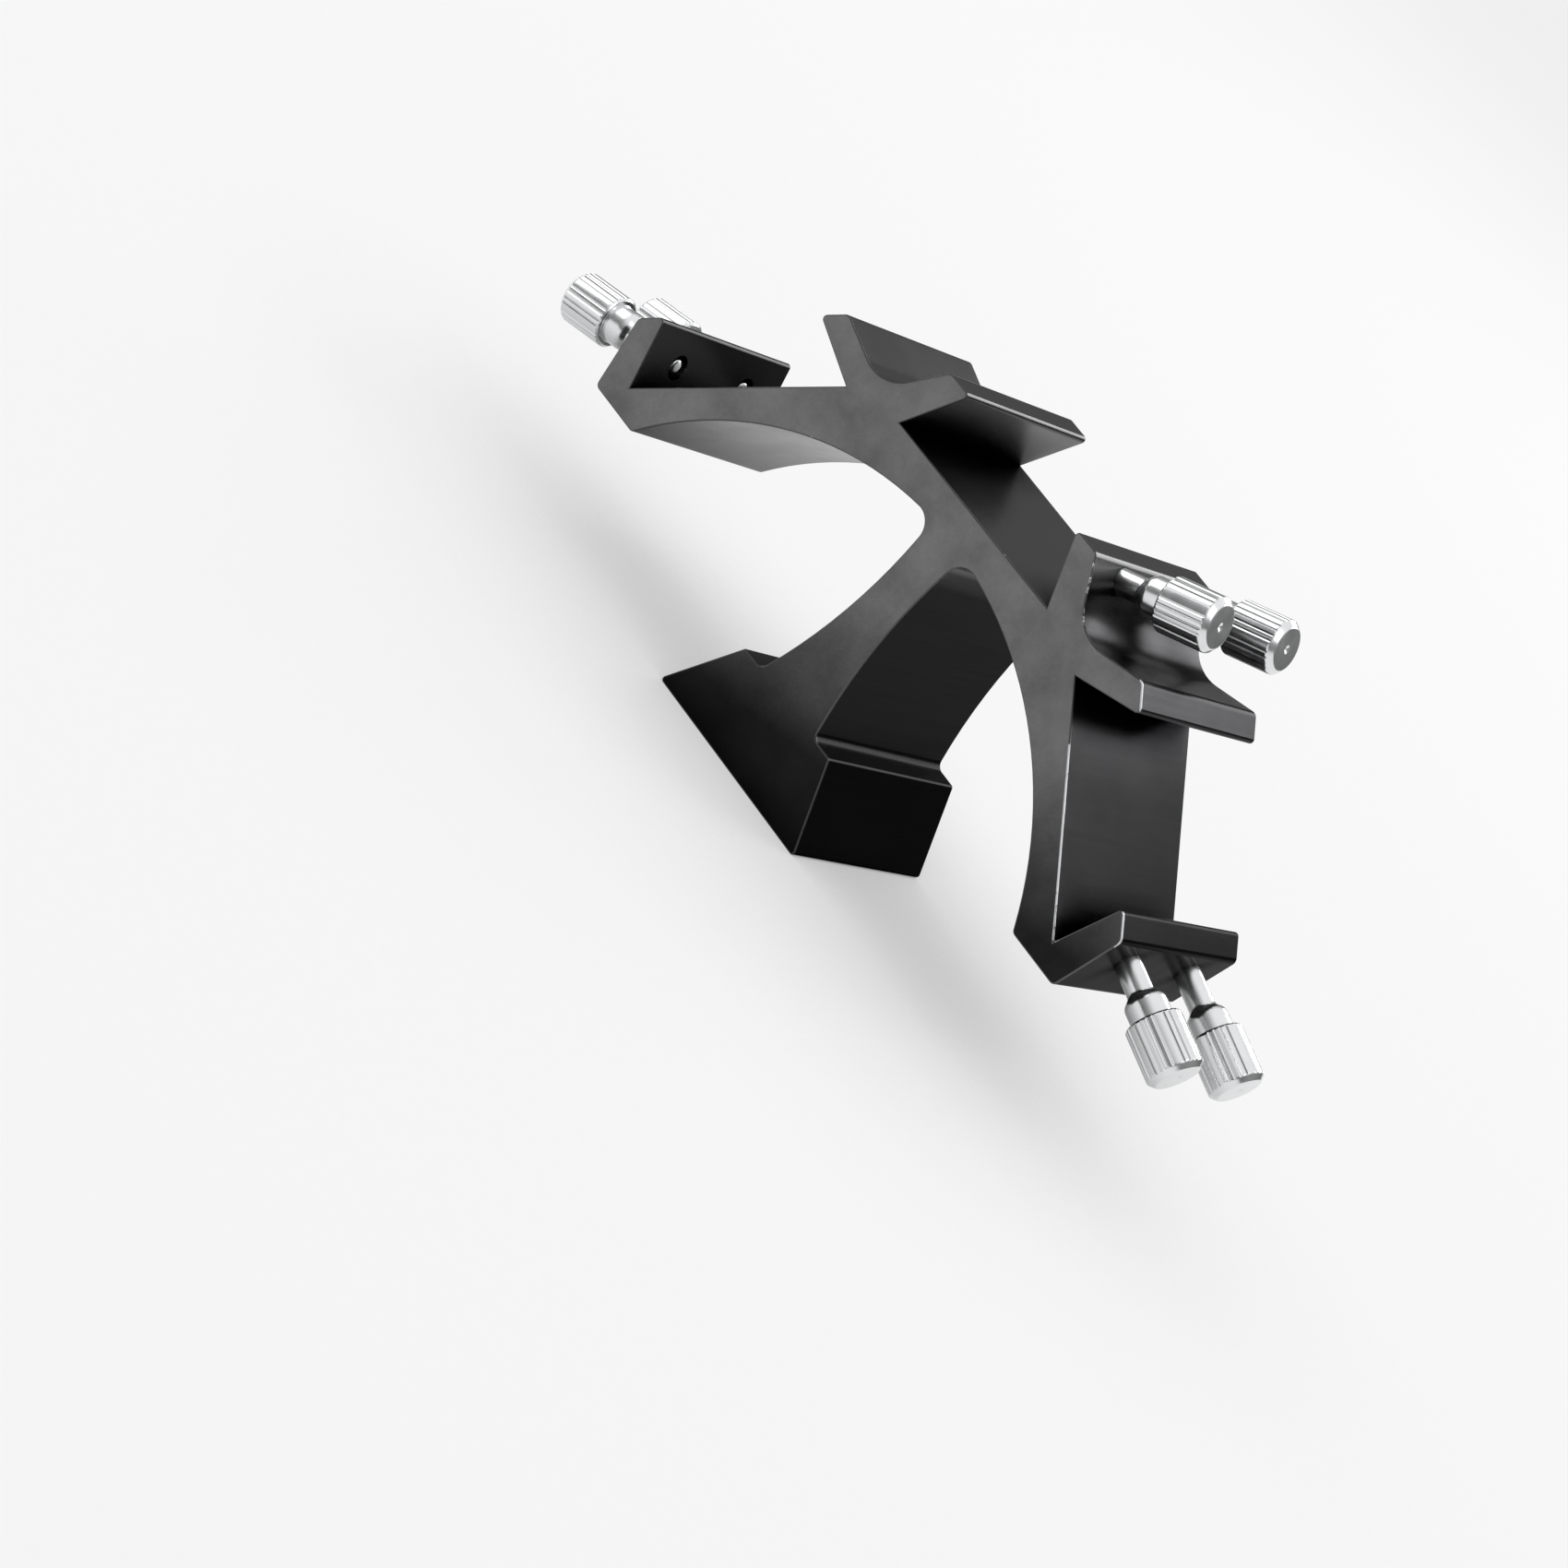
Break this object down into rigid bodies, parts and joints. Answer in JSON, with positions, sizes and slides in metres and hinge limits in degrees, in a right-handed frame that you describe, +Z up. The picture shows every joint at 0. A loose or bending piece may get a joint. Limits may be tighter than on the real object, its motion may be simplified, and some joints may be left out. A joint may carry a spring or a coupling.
{
  "type": "finder scope base",
  "caption": "Extruded bracket with an arch, a dovetail foot and side-by-side dovetail slots with thumbscrews, to carry finder scopes on a telescope.",
  "frame": {"origin": "centre of the dovetail foot's bottom face", "axes": "+Z up from the foot, +X across the three slots, Y along the extrusion with the front face at -Y"},
  "size_m": [0.1428, 0.0332, 0.0643],
  "materials": {
    "black_anodised_aluminium": "black anodised, satin",
    "chromed_brass": "polished chrome plate"
  },
  "bodies": {
    "bracket": {"bracket_body": "black_anodised_aluminium"},
    "left_slot_screw_front": {"left_slot_screw_front": "chromed_brass"},
    "left_slot_screw_rear": {"left_slot_screw_rear": "chromed_brass"},
    "centre_slot_screw_front": {"centre_slot_screw_front": "chromed_brass"},
    "centre_slot_screw_rear": {"centre_slot_screw_rear": "chromed_brass"},
    "right_slot_screw_front": {"right_slot_screw_front": "chromed_brass"},
    "right_slot_screw_rear": {"right_slot_screw_rear": "chromed_brass"}
  },
  "joints": [
    {"name": "left_slot_screw_front_travel", "type": "slide", "parent": "bracket", "child": "left_slot_screw_front", "axis": [0.969, 0, 0.247], "range_m": [-0.0016, 0.0036]},
    {"name": "left_slot_screw_rear_travel", "type": "slide", "parent": "bracket", "child": "left_slot_screw_rear", "axis": [0.969, 0, 0.247], "range_m": [-0.0016, 0.0036]},
    {"name": "centre_slot_screw_front_travel", "type": "slide", "parent": "bracket", "child": "centre_slot_screw_front", "axis": [-0.9135, 0, -0.4067], "range_m": [-0.0016, 0.0029]},
    {"name": "centre_slot_screw_rear_travel", "type": "slide", "parent": "bracket", "child": "centre_slot_screw_rear", "axis": [-0.9135, 0, -0.4067], "range_m": [-0.0007, 0.0043]},
    {"name": "right_slot_screw_front_travel", "type": "slide", "parent": "bracket", "child": "right_slot_screw_front", "axis": [-0.969, 0, 0.247], "range_m": [-0.0012, 0.004]},
    {"name": "right_slot_screw_rear_travel", "type": "slide", "parent": "bracket", "child": "right_slot_screw_rear", "axis": [-0.969, 0, 0.247], "range_m": [-0.0004, 0.0048]}
  ]
}
